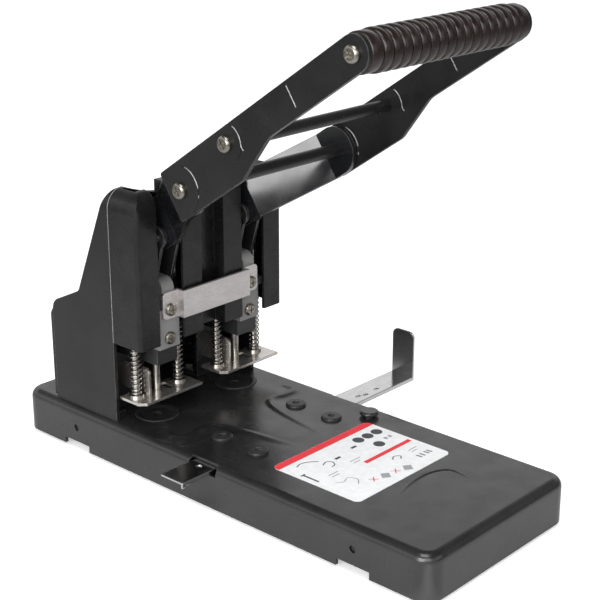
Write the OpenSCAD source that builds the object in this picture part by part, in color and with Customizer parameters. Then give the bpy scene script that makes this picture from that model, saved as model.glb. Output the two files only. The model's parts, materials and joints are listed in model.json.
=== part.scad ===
// Heavy duty two-hole punch: long base, rear tower, lever handle and spring-loaded punch heads.
// Origin on the table under the base's centre, X across, -Y to the front, +Z up.

/* [Base] */
// Width of the base shell
base_w = 150; // [149:1:155]
// Length of the base shell, front to back
base_l = 385; // [380:1:396]
// Height of the base's top face over the table
base_top = 34; // [33:0.5:38]
// Radius of the base's corners in plan
base_corner_r = 13; // [12:1:18]
// Radius of the base's top edge
base_edge_r = 6.5; // [5.5:0.5:7]
// Thickness of the base's top sheet
base_sheet = 2; // [1.8:0.1:2.2]
// Thickness of the base's walls
base_wall = 2.5; // [2.2:0.1:2.8]
// Height of the rubber feet under the base's lower edge
foot_h = 2.5; // [2:0.25:3]
// Radius of the rubber feet
foot_r = 10; // [8:0.5:11]
// Thickness of the bottom tray's sheet
tray_sheet = 2; // [1.6:0.1:2.4]
// Height of the tray over the base's lower edge
tray_up = 5; // [4.5:0.25:5.25]
// Height of the tray's rim over its floor
tray_rim = 12; // [11.5:0.5:13]
// Distance of the rear feet from the base's rear end
rear_foot_in = 60; // [56:1:64]
// Distance of the front feet from the base's front end
front_foot_in = 60; // [50:1:66]
// Distance of the feet from the base's sides
foot_side = 10.5; // [8:0.5:13]
// Length of the notches in the base's lower edge
notch_l = 27; // [22:1:30]
// Height of the notches in the base's lower edge
notch_h = 5; // [4:0.25:5]
// Height of the side screws over the tray's floor
side_screw_up = 9; // [8.5:0.25:9.25]
// Radius of the side screws' heads
side_screw_r = 2.2; // [1.8:0.1:2.4]

/* [Punching] */
// Distance between the two punched holes
hole_pitch = 80; // [78:0.5:81]
// Distance of the punch line from the base's rear end
punch_in = 110; // [108:0.5:113]
// Radius of a punch
punch_r = 3; // [2.5:0.1:3.2]
// Radius of a die
die_r = 16; // [14:0.5:17]
// Height of a die over the base's top
die_proud = 0.5; // [0.2:0.1:0.5]
// Depth of a die
die_h = 10; // [9:0.5:12]
// Clear height between the base's top and the stripper plates
throat_h = 17; // [17:0.25:18]
// Thickness of a stripper plate
plate_t = 2; // [1.6:0.1:2]
// Depth of a stripper plate, front to back
plate_l = 24; // [22:0.5:24]
// Height of a stripper plate's upright tab
tab_h = 20; // [16:0.5:22]
// Length of a stripper plate's upright tab
tab_l = 30; // [26:0.5:31]
// Thickness of a stripper plate's upright tab
tab_t = 2; // [1.5:0.1:2.2]
// Radius of a guide rod
rod_r = 2.5; // [2.2:0.1:2.6]
// Length of a guide rod
rod_l = 95; // [85:1:98]
// Left guide rod's distance from its punch
rod_left = 18; // [17.5:0.25:18]
// Right guide rod's distance from its punch
rod_right = 22; // [21:0.25:22.5]
// Guide rods' distance behind the punch line
rod_back = 1; // [0:0.25:1.5]
// Outer radius of a column spring
spring_r = 4.25; // [4:0.05:4.3]
// Radius of a column spring's wire
wire_r = 0.55; // [0.45:0.05:0.6]
// Turns of a column spring
spring_turns = 16; // [12:1:18]

/* [Heads] */
// Half width of a punch head
head_half = 9.5; // [9:0.1:10]
// Height of a head's underside over the stripper plate
head_up = 36; // [35.5:0.25:37]
// Height of a head's body
head_h = 29; // [28:0.5:29.5]
// Depth of a head, front to back
head_l = 35; // [33:0.5:36]
// Distance of a head's front before the punch line
head_front = 16; // [15.5:0.25:16.5]
// Half width of a head's tongue
tongue_half = 5.5; // [4.5:0.1:5.6]
// Height of a head's tongue
tongue_h = 22; // [20:0.5:24]
// Depth of a head's tongue
tongue_l = 24; // [22:0.5:25]
// Thickness of a head's wings
wing_t = 5; // [4:0.25:5]
// Depth of a head's wings
wing_l = 12; // [11:0.25:12]
// Distance from a rod's axis to its wing's end
wing_end = 4.5; // [4:0.1:4.6]
// Depth of the black punch holder under a head
holder_h = 12; // [10:0.5:12.5]
// Width of the strap that joins the heads
strap_h = 20; // [18:0.5:22]
// Thickness of the strap's sheet
strap_t = 2; // [1.6:0.1:2]
// Distance from the strap's tabs to its front face
strap_jog = 6; // [5.5:0.25:7]
// Radius of the head screws' heads
head_screw_r = 4.6; // [4:0.1:4.8]

/* [Tower] */
// Thickness of the casing and cover walls
wall = 2.5; // [2:0.1:2.5]
// Height of the casing over the base's top
casing_h = 170; // [168:0.5:174]
// Height of the casing's rear step over the base's top
step_h = 76; // [72:0.5:80]
// Depth of the casing, front to back
casing_l = 66.5; // [64:0.5:70]
// Radius of the tower's upper corners
tower_r = 13; // [10:0.5:15]
// Height of the front cover's lower edge over the base's top
cover_up = 60.5; // [58:0.5:63]
// Depth of the front cover
cover_l = 29.2; // [28.5:0.1:29.6]
// Amount by which the cover stands out past the casing
cover_proud = 0.5; // [0.2:0.1:0.8]
// Radius of the front cover's upright edges
cover_edge_r = 3; // [2.6:0.2:5]
// Half width of the cover's centre column
column_half = 29; // [28:0.25:29.2]
// Half width of the groove in the centre column
groove_half = 11; // [9:0.25:11.5]
// Depth of the groove in the centre column
groove_d = 10; // [8:0.25:10.5]
// Width of the cover's two slots
slot_w = 23; // [22.5:0.25:24]
// Thickness of the frames' sheet
frame_t = 3; // [2.5:0.1:3.2]
// Thickness of the rear cover
rear_t = 4; // [3:0.25:5]

/* [Handle] */
// Height of the pivot over the base's top
pivot_up = 123; // [122:0.25:124]
// Distance of the pivot behind the punch line
pivot_back = 15; // [14.5:0.25:15.5]
// Radius of the pivot shaft
shaft_r = 5; // [4.5:0.1:5.5]
// Angle of the raised handle over level
handle_angle = 34; // [32:0.5:35]
// Radius of the crank from the pivot to the link pins
crank_r = 33; // [32:0.25:33.5]
// Angle of the crank over level with the handle raised
crank_angle = 25; // [24:0.25:26]
// Thickness of an arm
arm_t = 3; // [2.5:0.1:3.5]
// Gap between the front cover and an arm
arm_gap = 5; // [5:0.25:7]
// Distance from the pivot to the arms' lower end
arm_start = 97.7; // [95:0.1:100]
// Height of the arms' upper edge over the pivot
arm_rise = 20.7; // [19:0.1:21]
// Depth of the arms' wide stretch
arm_depth = 34.5; // [32:0.25:36]
// Distance from the pivot to the end of the wide stretch
wide_end = 162.5; // [158:0.5:166]
// Distance from the pivot to the start of the narrow stretch
narrow_start = 198; // [194:0.5:204]
// Radius of the arms' upper end
arm_end_r = 11; // [10:0.25:11.5]
// Distance from the pivot to the grip's axis
grip_reach = 282.2; // [275:0.1:290]
// Thickness of a lever
lever_t = 5; // [4.5:0.1:5.2]
// Distance from the pivot to the start of a lever's flare
flare_start = 46; // [45:0.25:50]
// Length of a lever's flange along its arm
flange_l = 26.3; // [24:0.1:30]
// Radius of the lower cross rod
lower_rod_r = 4.5; // [4:0.1:5]
// Radius of the upper cross rod
upper_rod_r = 4.25; // [4:0.05:5]
// Radius of the grip over its ribs
grip_r = 13; // [12:0.1:13.5]
// Number of ribs on the grip
grip_ribs = 16; // [12:1:16]
// Width of a rib with its groove
rib_pitch = 8.2; // [7:0.1:8.4]
// Depth of the grooves between the ribs
rib_d = 1.2; // [0.8:0.1:1.6]
// Radius of an arm screw's head
arm_screw_r = 5.5; // [4.5:0.1:6]
// Height of an arm screw's head
arm_screw_h = 3.4; // [3:0.1:4]

/* [Paper guide] */
// Distance of the guide strip before the punch line
guide_fore = 82; // [80:0.25:83]
// Width of the guide strip
guide_w = 20.5; // [18:0.25:21]
// Depth of the guide strip over its bent edges
guide_t = 3; // [2.5:0.1:3.2]
// Reach of the strip's bent end left of the centre
guide_left = 102; // [101:0.5:108]
// Reach of the stop plate right of the centre
guide_right = 143; // [140:0.5:147]
// Height of the stop plate over the strip
stop_h = 36.4; // [30:0.2:40]
// Depth of the strip's bent corner
lip_h = 4; // [3.5:0.25:5]
// Half distance between the strap screws, front to back
strap_screw_y = 17.2; // [17:0.1:18]
// Place of the strap screws left and right of the centre
strap_screw_x = 38; // [36:0.25:40]
// Distance of the button from the base's right side
button_side = 16; // [15.5:0.25:19]
// Distance of the button before the guide strip
button_fore = 35; // [33:0.25:38]
// Radius of the button's head
button_r = 7; // [6:0.1:7.5]
// Travel of the button
button_travel = 1.5; // [1:0.1:2]
// Half width of the label
label_half = 49; // [44:0.5:51]
// Distance of the label's rear edge before the guide strip
label_fore = 40.5; // [40:0.25:44]
// Length of the label
label_l = 75; // [70:0.5:78]

/* [Fits] */
// Radial clearance of a turning or press fit
fit = 0.05; // [0.03:0.01:0.06]
// Gap between pieces that slide or lie side by side
gap = 0.3; // [0.25:0.05:0.35]

/* [Hidden] */
$fn = 64;
eps = 0.01;
over = 1;
punch_x = hole_pitch / 2;
punch_y = base_l / 2 - punch_in;
rear_foot_y = base_l / 2 - rear_foot_in;
front_foot_y = base_l / 2 - front_foot_in;

// Heights of the stripper plate, the head and the pins
plate_z0 = base_top + throat_h;
plate_z = plate_z0 + plate_t;
head_z = plate_z + head_up;
head_z1 = head_z + head_h;
wing_z1 = head_z1 - wing_t;
wing_z = wing_z1 - wing_t;
pin_up = 10;
head_pin_z = head_z1 + pin_up;
holder_z = head_z - holder_h;

// Places front to back
head_y = punch_y - head_front;
pin_fore = 3;
head_pin_y = punch_y - pin_fore;
rod_y = punch_y + rod_back;
wing_fore = 7;
wing_y = rod_y - wing_fore;
pivot_y = punch_y + pivot_back;
pivot_z = base_top + pivot_up;
crank = crank_r * [cos(crank_angle), sin(crank_angle)];
crank_y = pivot_y - crank.x;
crank_z = pivot_z + crank.y;
pin_r = 3;

// Tower
cover_room = 1.5;
cover_half = punch_x + rod_right + wing_end + cover_room + wall;
casing_half = cover_half - cover_proud;
casing_back = 9.5;
casing_y = punch_y + casing_back;
casing_y1 = casing_y + casing_l;
casing_z1 = base_top + casing_h;
cover_y1 = casing_y - gap;
cover_y = cover_y1 - cover_l;
cover_z = base_top + cover_up;
cover_rise = 1;
cover_z1 = casing_z1 + cover_rise;
slot_x1 = column_half + slot_w;

// Frames
cheek_in = head_half + gap;
cheek_out = cheek_in + frame_t;
cheek_back = 8;
cheek_y = punch_y + cheek_back;
cheek_l = 23;
web_y1 = cheek_y + cheek_l;
cheek_up = 44;
cheek_z = base_top + cheek_up;
crown_up = 12;
frame_z1 = pivot_z + crown_up;
web_drop = 10;
web_z1 = pivot_z - web_drop;
foot_l = 22;

// Handle, along the arm and square to it from the pivot
arm_in = cover_half + arm_gap;
arm_out = arm_in + arm_t;
arm_low = arm_rise - arm_depth;
grip_rise = arm_rise - arm_end_r;
lever_end = arm_start + flange_l;
lower_along = 11.2;
lower_rise = 3.7;
lower_joint = [arm_start + lower_along, lower_rise];
upper_along = 0.7;
upper_rise = 11;
upper_joint = [wide_end + upper_along, upper_rise];
grip_joint = [grip_reach, grip_rise];
rod_in = arm_in - lever_t;
tap_l = 12;
boss_rim = 5.5;
boss_r = shaft_r + boss_rim;
crank_local = crank_r * [cos(handle_angle - crank_angle), -sin(handle_angle - crank_angle)];

// Paper guide
guide_y = punch_y - guide_fore;
guide_drop = 0.4;
guide_z1 = base_top - base_sheet - guide_drop;
guide_z = guide_z1 - guide_t;
guide_span = guide_w / 2;
strap_top = guide_z - gap;
strap_sheet = 2;

// Spring of the button
button_x = base_w / 2 - button_side;
button_y = guide_y - button_fore;
button_neck_r = 4.5;
button_stem = 7;
button_stem_z = base_top - button_stem;
tray_z0 = foot_h + tray_up;
tray_z = tray_z0 + tray_sheet;

// Outlines with rounded corners: each point is [x, y, radius], counterclockwise
function unit(v) = v / norm(v);
function turned(v, a) = [v.x * cos(a) - v.y * sin(a), v.x * sin(a) + v.y * cos(a)];
function corner(a, b, c, r, steps) =
    r == 0 ? [b] :
    let (u = unit(a - b))
    let (w = unit(c - b))
    let (half = acos(u * w) / 2)
    let (centre = b + unit(u + w) * r / sin(half))
    let (start = b + u * r / tan(half) - centre)
    let (turn = sign(cross(w, u)) * (180 - 2 * half))
    [for (i = [0 : steps]) centre + turned(start, turn * i / steps)];
function flat(p) = [p.x, p.y];
function before(pts, i) = pts[(i + len(pts) - 1) % len(pts)];
function after(pts, i) = pts[(i + 1) % len(pts)];
function rounded(pts, steps = 10) = [
    for (i = [0 : len(pts) - 1])
    each corner(flat(before(pts, i)), flat(pts[i]), flat(after(pts, i)), pts[i].z, steps)
];

// Outline moved inwards, edge by edge: depths[i] belongs to the edge from point i to point i + 1
function inward(a, b) = [a.y - b.y, b.x - a.x] / norm(flat(b) - flat(a));
function moved(b, n1, n2, d1, d2) =
    flat(b) + [d1 * n2.y - d2 * n1.y, n1.x * d2 - n2.x * d1] / cross(n1, n2);
function inset(pts, depths, d) = [
    for (i = [0 : len(pts) - 1])
    let (n1 = inward(before(pts, i), pts[i]))
    let (n2 = inward(pts[i], after(pts, i)))
    let (p = moved(pts[i], n1, n2, before(depths, i), depths[i]))
    [p.x, p.y, pts[i].z == 0 ? 0 : max(pts[i].z - sign(cross(n1, n2)) * d, 0)]
];

// Prism between two X places from a Y-Z outline
module along_x(x0, x1) {
    translate([x0, 0, 0])
    rotate([90, 0, 90])
    linear_extrude(x1 - x0)
    children();
}

// Prism between two Y places from an X-Z outline
module along_y(y0, y1) {
    translate([0, y1, 0])
    rotate([90, 0, 0])
    linear_extrude(y1 - y0)
    children();
}

// Prism between two Z places from an X-Y outline
module along_z(z0, z1) {
    translate([0, 0, z0])
    linear_extrude(z1 - z0)
    children();
}

module box(lo, hi) {
    translate(lo)
    cube(hi - lo);
}

module pin_x(x0, x1, y, z, r) {
    translate([x0, y, z])
    rotate([0, 90, 0])
    cylinder(h = x1 - x0, r = r);
}

module pin_y(y0, y1, x, z, r) {
    translate([x, y1, z])
    rotate([90, 0, 0])
    cylinder(h = y1 - y0, r = r);
}

module pin_z(z0, z1, x, y, r) {
    translate([x, y, z0])
    cylinder(h = z1 - z0, r = r);
}

// Both sides of the punch
module both_sides() {
    for (side = [-1, 1])
        scale_side(side)
            children();
}

module scale_side(side) {
    if (side < 0)
        mirror([1, 0, 0])
            children();
    else
        children();
}

// Both punching units, each the same way round
module both_units() {
    for (x = [-punch_x, punch_x])
        translate([x, 0, 0])
            children();
}

// Handle's own frame: X across, -Y along the arm, Z square to it
module on_handle() {
    translate([0, pivot_y, pivot_z])
    rotate([-handle_angle, 0, 0])
    children();
}

// Plate in the handle's frame from an outline given along and square to the arm
module handle_plate(x0, x1) {
    along_x(x0, x1)
    mirror([1, 0, 0])
    children();
}

module handle_pin(place, x0, x1, r) {
    pin_x(x0, x1, -place.x, place.y, r);
}

// Slab with round plan corners and a rounded top edge, made of blocks that share flat faces
module slab_block(half, z0, z1, edge) {
    polygon(rounded([[-half, z0, 0], [half, z0, 0], [half, z1, edge], [-half, z1, edge]]));
}

module slab(w, l, z0, z1, r, edge) {
    along_y(r - l / 2, l / 2 - r)
    slab_block(w / 2, z0, z1, edge);
    along_x(r - w / 2, w / 2 - r)
    slab_block(l / 2, z0, z1, edge);
    for (i = [0 : 3])
        let (side = [[1, 1], [-1, 1], [-1, -1], [1, -1]][i])
        translate([side.x * (w / 2 - r), side.y * (l / 2 - r), 0])
        rotate([0, 0, 90 * i])
        slab_corner(z0, z1, r, edge);
}

module slab_corner(z0, z1, r, edge) {
    rotate_extrude(angle = 90)
    polygon(rounded([[0, z0, 0], [r, z0, 0], [r, z1, edge], [0, z1, 0]]));
}

// Screw that points down from its head's seat at the origin, with a cross in its head
module pan_screw(head_r, head_h, shank_r, shank_l) {
    cross_w = head_r * 0.24;
    difference() {
        union() {
            rotate_extrude()
            polygon(rounded([[0, 0, 0], [head_r, 0, 0], [head_r, head_h, head_h * 0.7], [0, head_h, 0]]));
            translate([0, 0, -shank_l])
            cylinder(h = shank_l + eps, r = shank_r);
        }
        for (a = [0, 90])
            rotate([0, 0, a])
            translate([-head_r * 0.55, -cross_w / 2, head_h * 0.55])
            cube([head_r * 1.1, cross_w, head_h]);
    }
}

// Wound wire from one height to the other, one closed tube of triangles
function coil_point(r, z0, z1, turns, k) =
    let (a = 360 * turns * k)
    [r * cos(a), r * sin(a), z0 + (z1 - z0) * k];
coil_rings = 8;
coil_sides = 6;
module coil(r, wire, z0, z1, turns) {
    rings = turns * coil_rings;
    slope = atan2(z1 - z0, 2 * PI * r * turns);
    points = [
        for (i = [0 : rings])
        let (a = 360 * i / coil_rings)
        let (centre = coil_point(r, z0, z1, turns, i / rings))
        let (out = [cos(a), sin(a), 0])
        let (up = [sin(a) * sin(slope), -cos(a) * sin(slope), cos(slope)])
        for (j = [0 : coil_sides - 1])
        let (b = 360 * j / coil_sides)
        centre + wire * (cos(b) * out + sin(b) * up)
    ];
    walls = [
        for (i = [0 : rings - 1])
        for (j = [0 : coil_sides - 1])
        let (p = i * coil_sides + j)
        let (q = i * coil_sides + (j + 1) % coil_sides)
        each [[p, q, q + coil_sides], [p, q + coil_sides, p + coil_sides]]
    ];
    last = rings * coil_sides;
    ends = [
        for (j = [1 : coil_sides - 2])
        each [[0, j + 1, j], [last, last + j, last + j + 1]]
    ];
    polyhedron(points = points, faces = concat(walls, ends));
}

// Least distance between neighbouring turns of a coil, measured on its points
function coil_gap(r, wire, z0, z1, turns) =
    let (steps = coil_rings * turns)
    let (near = [
        for (i = [0 : coil_rings])
        norm(coil_point(r, z0, z1, turns, (i + coil_rings) / steps) - coil_point(r, z0, z1, turns, 0))
    ])
    min(near) - 2 * wire;

// Base
module base_cavity() {
    slab(
        base_w - 2 * base_wall, base_l - 2 * base_wall,
        -base_sheet, base_top - base_sheet,
        base_corner_r - base_wall, base_edge_r - base_sheet
    );
}

side_screw_room = 0.4;
module side_holes(r) {
    for (y = [rear_foot_y, -front_foot_y])
        pin_x(-base_w / 2 - over, base_w / 2 + over, y, tray_z + side_screw_up, r);
}

module base_shell() {
    window_side = 3;
    window_drop = 1;
    mouth_side = 2;
    mouth_l = 5;
    cut_z1 = base_top + over;
    color("#3b3b3d")
    difference() {
        slab(base_w, base_l, foot_h, base_top, base_corner_r, base_edge_r);
        base_cavity();
        both_units()
            pin_z(0, cut_z1, 0, punch_y, die_r + gap);
        for (y = [rear_foot_y, -front_foot_y])
            box([-base_w, y - notch_l / 2, 0], [base_w, y + notch_l / 2, foot_h + notch_h]);
        side_holes(side_screw_r + side_screw_room);
        box(
            [-base_w, guide_y - guide_span - window_side, guide_z1 - lip_h - window_drop],
            [base_w, guide_y + guide_span + window_side, base_top - base_sheet]
        );
        both_sides()
            box(
                [base_w / 2 - mouth_l, guide_y - guide_span - mouth_side, guide_z],
                [base_w, guide_y + guide_span + mouth_side, cut_z1]
            );
        strap_screw_places()
            pin_z(0, cut_z1, 0, 0, strap_screw_shank + fit);
        pin_z(0, cut_z1, button_x, button_y, button_neck_r + gap);
        frame_bolt_places()
            pin_z(0, cut_z1, 0, 0, frame_bolt_r + fit);
        casing_screw_places()
            pin_z(0, cut_z1, 0, 0, casing_screw_r + fit);
    }
}

module bottom_tray() {
    reach = base_wall + gap;
    color("#2c2c2e")
    difference() {
        slab(
            base_w - 2 * reach, base_l - 2 * reach,
            tray_z0, tray_z + tray_rim, base_corner_r - reach, 0
        );
        slab(
            base_w - 2 * (reach + tray_sheet), base_l - 2 * (reach + tray_sheet),
            tray_z, base_top, base_corner_r - reach - tray_sheet, 0
        );
        side_holes(tray_screw_shank + fit);
    }
}

// Rubber feet: one near each corner and one under the middle
module feet() {
    color("#1d1d1e") {
        for (y = [rear_foot_y, -front_foot_y])
            both_sides()
                pin_z(0, tray_z0, base_w / 2 - foot_side - foot_r, y, foot_r);
        pin_z(0, tray_z0, 0, 0, foot_r);
    }
}

tray_screw_shank = 1.6;
module tray_screws() {
    sunk = 1.5;
    screw_l = 6.5;
    seat = base_w / 2 - base_wall;
    z = tray_z + side_screw_up;
    color("#1f1f20")
    for (y = [rear_foot_y, -front_foot_y])
        both_sides() {
            pin_x(seat, base_w / 2 - sunk, y, z, side_screw_r);
            pin_x(seat - screw_l, seat + eps, y, z, tray_screw_shank);
        }
}

module die() {
    flange_h = 4;
    flange_rim = 3;
    land_h = 5;
    relief = 1;
    dish_rim = 2.5;
    dish_d = 1.2;
    dish_slope = 3;
    dish_r = die_r - dish_rim;
    die_z1 = base_top + die_proud;
    flange_z1 = base_top - base_sheet;
    color("#2e2e30")
    difference() {
        union() {
            pin_z(die_z1 - die_h, die_z1, 0, punch_y, die_r);
            pin_z(flange_z1 - flange_h, flange_z1, 0, punch_y, die_r + flange_rim);
        }
        pin_z(0, die_z1 + over, 0, punch_y, punch_r + 2 * fit);
        pin_z(0, die_z1 - land_h, 0, punch_y, punch_r + relief);
        translate([0, punch_y, die_z1 - dish_d])
        cylinder(h = dish_d, r1 = dish_r - dish_slope, r2 = dish_r);
    }
}

module die_left() {
    translate([-punch_x, 0, 0])
    die();
}

module die_right() {
    translate([punch_x, 0, 0])
    die();
}

// Tower
step_l = 30.7;
step_rise = 14.6;
step_r = 10;
slope_r = 6;
crown_l = 2.5;
crown_r = 2;
crown_dip = 11.5;
crown_span = casing_half - tower_r;
crown_dip_l = 20;
crown_dip_r = (crown_span * crown_span + crown_dip * crown_dip) / (2 * crown_dip);

// Hollow that dips the tower's upper edge in the middle
module crown_hollow(y0, y1, z1, r) {
    pin_y(y0, y1, 0, z1 - crown_dip + crown_dip_r, r);
}

casing_side = [
    [casing_y, base_top, 0],
    [casing_y1, base_top, 0],
    [casing_y1, base_top + step_h, step_r],
    [casing_y1 - step_l, base_top + step_h + step_rise, slope_r],
    [casing_y + crown_l, casing_z1, crown_r],
    [casing_y, casing_z1, 0]
];

module tower_front(half, z0, z1, r) {
    polygon(rounded([[-half, z0, 0], [half, z0, 0], [half, z1, r], [-half, z1, r]]));
}

// Lugs inside the casing that take the screws from under the base's top
casing_screw_r = 2;
casing_screw_head = 2;
casing_screw_in = 12.5;
casing_screw_x = base_w / 2 - casing_screw_in;
lug_h = 4;
lug_l = 10;
lug_fore = 4.5;
lug_aft = 6;
module casing_screw_places() {
    for (y = [casing_y + lug_fore + lug_l / 2, casing_y1 - lug_aft - lug_l / 2])
        both_sides()
            translate([casing_screw_x, y, 0])
            children();
}

module casing_lugs() {
    for (y = [casing_y + lug_fore, casing_y1 - lug_aft - lug_l])
        both_sides()
            box(
                [casing_screw_x - lug_l / 2, y, base_top],
                [casing_half - wall + eps, y + lug_l, base_top + lug_h]
            );
}

module casing_shell() {
    open = 8;
    color("#39393b")
    difference() {
        union() {
            difference() {
                intersection() {
                    along_x(-casing_half, casing_half)
                    polygon(rounded(casing_side));
                    along_y(casing_y - over, casing_y1 + over)
                    tower_front(casing_half, base_top - over, casing_z1, tower_r);
                }
                intersection() {
                    along_x(wall - casing_half, casing_half - wall)
                    polygon(rounded(inset(casing_side, [-open, wall, wall, wall, wall, -open], wall)));
                    along_y(casing_y - 2 * open, casing_y1 + over)
                    tower_front(casing_half - wall, base_top - 2 * open, casing_z1 - wall, tower_r - wall);
                }
            }
            casing_lugs();
        }
        box(
            [-rear_window, casing_y1 - 2 * wall, base_top + rear_frame],
            [rear_window, casing_y1 + over, base_top + rear_h - rear_frame]
        );
        rear_screw_places()
            pin_y(casing_y1 - 2 * wall, casing_y1 + over, 0, 0, rear_screw_r + fit);
        casing_screw_places()
            pin_z(base_top - over, base_top + lug_h + over, 0, 0, casing_screw_r + fit);
        crown_hollow(casing_y - over, casing_y + crown_dip_l, casing_z1, crown_dip_r);
    }
}

module casing_screws() {
    seat = base_top - base_sheet;
    color("silver")
    casing_screw_places() {
        pin_z(seat - casing_screw_head, seat, 0, 0, 2 * casing_screw_r);
        pin_z(seat - eps, base_top + lug_h, 0, 0, casing_screw_r);
    }
}

// Rear cover over the window in the casing's back
rear_h = 70;
rear_side = 14;
rear_window = casing_half - rear_side;
rear_frame = 8;
rear_screw_r = 1.5;
rear_screw_in = 5;
rear_screw_side = 8;
module rear_screw_places() {
    for (z = [base_top + rear_screw_in, base_top + rear_h - rear_screw_in])
        both_sides()
            translate([casing_half - rear_screw_side, 0, z])
            children();
}

module rear_cover() {
    edge = 1;
    foot_corner = 3;
    top_corner = 6;
    half = casing_half - edge;
    color("#343436")
    difference() {
        along_y(casing_y1, casing_y1 + rear_t)
        polygon(rounded([
            [-half, base_top + gap, foot_corner], [half, base_top + gap, foot_corner],
            [half, base_top + rear_h, top_corner], [-half, base_top + rear_h, top_corner]
        ]));
        rear_screw_places()
            pin_y(casing_y1 - over, casing_y1 + rear_t + over, 0, 0, rear_screw_r + fit);
    }
}

module cover_screws() {
    head_h = 1.8;
    tip = 2;
    color("silver")
    rear_screw_places()
        translate([0, casing_y1 + rear_t, 0])
        rotate([-90, 0, 0])
        pan_screw(2 * rear_screw_r, head_h, rear_screw_r, rear_t + wall + tip);
}

// Front cover: three rounded outlines in common give the body, a smaller one its hollow
cover_brow = 9;
module cover_body(inset_d, reach) {
    half = cover_half - inset_d;
    y0 = cover_y + inset_d;
    z1 = cover_z1 - inset_d;
    edge = cover_edge_r - inset_d;
    intersection() {
        along_y(cover_y, cover_y1 + reach)
        tower_front(half, cover_z - reach, z1, tower_r + cover_rise - inset_d);
        along_z(cover_z - reach, cover_z1)
        polygon(rounded([
            [-half, y0, edge], [half, y0, edge],
            [half, cover_y1 + reach, 0], [-half, cover_y1 + reach, 0]
        ]));
        along_x(-cover_half, cover_half)
        polygon(rounded([
            [y0, cover_z - reach, 0], [cover_y1 + reach, cover_z - reach, 0],
            [cover_y1 + reach, z1, 0], [y0, z1, edge + cover_brow]
        ]));
    }
}

module front_cover() {
    open = 8;
    strip_l = 4.5;
    strip_t = 1.6;
    hook_t = 3;
    hook_root = 4;
    hook_reach = 12;
    hook_h = 20;
    hook_drop = 54;
    hook_z = casing_z1 - hook_drop;
    hook_x = casing_half - wall - gap;
    step_d = 13;
    step_w = 8;
    slot_y1 = cover_y1 - strip_l;
    color("#303032") {
        difference() {
            union() {
                difference() {
                    cover_body(0, 0);
                    cover_body(wall, open);
                }
                intersection() {
                    cover_body(0, 0);
                    box(
                        [-groove_half - wall, cover_y, cover_z],
                        [groove_half + wall, cover_y + groove_d + wall, cover_z1]
                    );
                }
                both_sides() {
                    box(
                        [hook_x - hook_t, cover_y1 - hook_root, hook_z],
                        [hook_x, cover_y1 + hook_reach, hook_z + hook_h]
                    );
                    box(
                        [hook_x - eps, cover_y1 - hook_root, hook_z],
                        [cover_half - wall + eps, cover_y1, hook_z + hook_h]
                    );
                }
            }
            box(
                [-groove_half, cover_y - over, cover_z - over],
                [groove_half, cover_y + groove_d, cover_z1 + over]
            );
            both_sides() {
                box([column_half, cover_y - over, cover_z - over], [slot_x1, slot_y1, cover_z1 + over]);
                box(
                    [column_half, slot_y1 - step_d, cover_z1 - step_w],
                    [slot_x1 + step_w, slot_y1, cover_z1 + over]
                );
            }
            crown_hollow(slot_y1, cover_y1 + over, cover_z1, crown_dip_r);
        }
        // Strip along the dip, from side to side, and the column's back down to it
        intersection() {
            cover_body(0, 0);
            difference() {
                crown_hollow(slot_y1, cover_y1, cover_z1, crown_dip_r + strip_t);
                crown_hollow(slot_y1 - over, cover_y1 + over, cover_z1, crown_dip_r);
            }
        }
        box(
            [-column_half, slot_y1 - wall, cover_z1 - crown_dip - strip_t],
            [column_half, slot_y1 + wall, cover_z1]
        );
    }
}

// Frames: two cheeks, a web behind them and a foot on the base
frame_bolt_r = 3;
frame_bolt_x = 7.5;
frame_bolt_back = 10;
bolt_head_r = 5.5;
bolt_head_h = 4;
nut_h = 5;
bolt_tip = 2;
module frame_bolt_pair() {
    for (x = [-frame_bolt_x, frame_bolt_x])
        translate([x, web_y1 + frame_bolt_back, 0])
        children();
}

module frame_bolt_places() {
    both_units()
        frame_bolt_pair()
            children();
}

module frame() {
    crown_back = 6;
    rear_r = 3;
    front_r = 5;
    color("#6e7073")
    difference() {
        union() {
            for (x = [-cheek_out, cheek_in])
                along_x(x, x + frame_t)
                polygon(rounded([
                    [cheek_y, cheek_z, 0], [web_y1, cheek_z, 0], [web_y1, web_z1, 0],
                    [pivot_y + crown_back, frame_z1, rear_r], [cheek_y, frame_z1, front_r]
                ]));
            box([-cheek_out, web_y1 - frame_t, base_top], [cheek_out, web_y1, web_z1]);
            box([-cheek_out, web_y1 - frame_t, base_top], [cheek_out, web_y1 + foot_l, base_top + frame_t]);
        }
        pin_x(-cheek_out - over, cheek_out + over, pivot_y, pivot_z, shaft_r + fit);
        frame_bolt_pair()
            pin_z(base_top - over, base_top + frame_t + over, 0, 0, frame_bolt_r + fit);
    }
}

module frame_left() {
    translate([-punch_x, 0, 0])
    frame();
}

module frame_right() {
    translate([punch_x, 0, 0])
    frame();
}

module frame_bolts() {
    color("silver")
    frame_bolt_places() {
        translate([0, 0, base_top + frame_t])
        cylinder(h = bolt_head_h, r = bolt_head_r, $fn = 6);
        pin_z(base_top - base_sheet - nut_h - bolt_tip, base_top + frame_t + eps, 0, 0, frame_bolt_r);
    }
}

module frame_nuts() {
    color("silver")
    frame_bolt_places()
        difference() {
            translate([0, 0, base_top - base_sheet - nut_h])
            cylinder(h = nut_h, r = bolt_head_r, $fn = 6);
            pin_z(0, base_top, 0, 0, frame_bolt_r + fit);
        }
}

shaft_end = 6;
shaft_half = punch_x + cheek_out + shaft_end;
clip_t = 1.5;
module pivot_shaft() {
    color("silver")
    pin_x(-shaft_half, shaft_half, pivot_y, pivot_z, shaft_r);
}

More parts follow.
